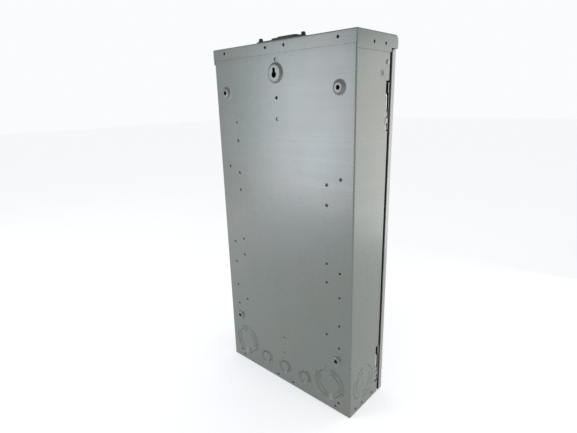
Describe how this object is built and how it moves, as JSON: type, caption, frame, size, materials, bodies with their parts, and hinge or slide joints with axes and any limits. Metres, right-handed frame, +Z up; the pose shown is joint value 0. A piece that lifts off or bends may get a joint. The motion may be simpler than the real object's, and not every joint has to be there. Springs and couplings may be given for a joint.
{
  "type": "breaker panel box",
  "caption": "Outdoor rain-proof breaker panel box with drip-hood cap, hinged door, lift-out hinge pins, wall bosses, knockouts and a complete plug-on breaker interior.",
  "frame": {"origin": "the middle of the overall box's footprint, on the plane of the bottom end", "axes": "+Z up the height, +Y out of the back towards the wall, -Y out of the door, +X to the right seen from the front; the hinges are on the -X side"},
  "size_m": [0.3656, 0.14, 0.7613],
  "materials": {
    "grey_paint": "semi-gloss grey enamel over galvanised sheet",
    "zinc_plate": "bright zinc plate",
    "black_plastic": "moulded, fine texture",
    "handle_plastic": "moulded, smoother than the cases",
    "gasket_rubber": "closed-cell gasket",
    "galvanised_sheet": "galvanised, with spangle",
    "base_plastic": "moulded thermoset insulator",
    "tin_plated_bar": "tin-plated bar",
    "aluminium_bar": "extruded and drilled"
  },
  "bodies": {
    "box": {"box_wrap": "grey_paint", "rain_cap": "grey_paint", "bottom_endwall": "grey_paint", "top_rail": "grey_paint", "deadfront": "grey_paint", "rail_screw_left": "zinc_plate", "rail_screw_right": "zinc_plate", "hub_screw_1": "zinc_plate", "hub_screw_2": "zinc_plate", "hub_screw_3": "zinc_plate", "hub_screw_4": "zinc_plate", "hinge_bracket_upper": "zinc_plate", "hinge_bracket_lower": "zinc_plate", "latch_keeper": "zinc_plate", "deadfront_screw_1": "zinc_plate", "deadfront_screw_2": "zinc_plate", "deadfront_screw_3": "zinc_plate", "deadfront_screw_4": "zinc_plate", "hub_closure_plate": "black_plastic", "main_breaker_case": "black_plastic", "filler_plate_left": "black_plastic", "filler_plate_right": "black_plastic", "breaker_case_1": "black_plastic", "breaker_case_2": "black_plastic", "breaker_case_3": "black_plastic", "breaker_case_4": "black_plastic", "breaker_case_5": "black_plastic", "breaker_case_6": "black_plastic", "breaker_case_7": "black_plastic", "breaker_case_8": "black_plastic", "hub_gasket": "gasket_rubber", "interior_pan": "galvanised_sheet", "moulded_base": "base_plastic", "bus_bar_a": "tin_plated_bar", "bus_bar_b": "tin_plated_bar", "neutral_strap": "tin_plated_bar", "neutral_bar_left": "aluminium_bar", "neutral_bar_right": "aluminium_bar", "neutral_lug": "aluminium_bar", "ground_bar_left": "aluminium_bar", "ground_bar_right": "aluminium_bar", "line_lug_left": "aluminium_bar", "line_lug_right": "aluminium_bar"},
    "door": {"door": "grey_paint", "hinge_leaf_upper": "zinc_plate", "hinge_leaf_lower": "zinc_plate"},
    "latch": {"latch_knob": "black_plastic", "latch_cam": "zinc_plate"},
    "pin_upper": {"hinge_pin_upper": "zinc_plate"},
    "pin_lower": {"hinge_pin_lower": "zinc_plate"},
    "main_handle": {"main_breaker_handle": "handle_plastic"},
    "handle_1": {"breaker_handle_1": "handle_plastic"},
    "handle_2": {"breaker_handle_2": "handle_plastic"},
    "handle_3": {"breaker_handle_3": "handle_plastic"},
    "handle_4": {"breaker_handle_4": "handle_plastic"},
    "handle_5": {"breaker_handle_5": "handle_plastic"},
    "handle_6": {"breaker_handle_6": "handle_plastic"},
    "handle_7": {"breaker_handle_7": "handle_plastic"},
    "handle_8": {"breaker_handle_8": "handle_plastic"}
  },
  "joints": [
    {"name": "door_hinge", "type": "hinge", "parent": "box", "child": "door", "pos_m": [-0.17705, -0.041, 0.363], "axis": [0, 0, -1], "range_deg": [0, 100]},
    {"name": "latch_turn", "type": "hinge", "parent": "door", "child": "latch", "pos_m": [0.1555, -0.062, 0.363], "axis": [0, 1, 0], "range_deg": [0, 90]},
    {"name": "pin_upper_lift", "type": "slide", "parent": "box", "child": "pin_upper", "axis": [0, 0, 1], "range_m": [0, 0.028]},
    {"name": "pin_lower_lift", "type": "slide", "parent": "box", "child": "pin_lower", "axis": [0, 0, 1], "range_m": [0, 0.028]},
    {"name": "main_toggle", "type": "hinge", "parent": "box", "child": "main_handle", "pos_m": [0, -0.032, 0.55], "axis": [-1, 0, 0], "range_deg": [0, 36]},
    {"name": "toggle_1", "type": "hinge", "parent": "box", "child": "handle_1", "pos_m": [-0.044, -0.033, 0.4373], "axis": [0, 0, 1], "range_deg": [0, 36]},
    {"name": "toggle_2", "type": "hinge", "parent": "box", "child": "handle_2", "pos_m": [0.044, -0.033, 0.4373], "axis": [0, 0, -1], "range_deg": [0, 36]},
    {"name": "toggle_3", "type": "hinge", "parent": "box", "child": "handle_3", "pos_m": [-0.044, -0.033, 0.4119], "axis": [0, 0, 1], "range_deg": [0, 36]},
    {"name": "toggle_4", "type": "hinge", "parent": "box", "child": "handle_4", "pos_m": [0.044, -0.033, 0.4119], "axis": [0, 0, -1], "range_deg": [0, 36]},
    {"name": "toggle_5", "type": "hinge", "parent": "box", "child": "handle_5", "pos_m": [-0.044, -0.033, 0.3865], "axis": [0, 0, 1], "range_deg": [0, 36]},
    {"name": "toggle_6", "type": "hinge", "parent": "box", "child": "handle_6", "pos_m": [0.044, -0.033, 0.3865], "axis": [0, 0, -1], "range_deg": [0, 36]},
    {"name": "toggle_7", "type": "hinge", "parent": "box", "child": "handle_7", "pos_m": [-0.044, -0.033, 0.3611], "axis": [0, 0, 1], "range_deg": [0, 36]},
    {"name": "toggle_8", "type": "hinge", "parent": "box", "child": "handle_8", "pos_m": [0.044, -0.033, 0.3611], "axis": [0, 0, -1], "range_deg": [0, 36]}
  ]
}
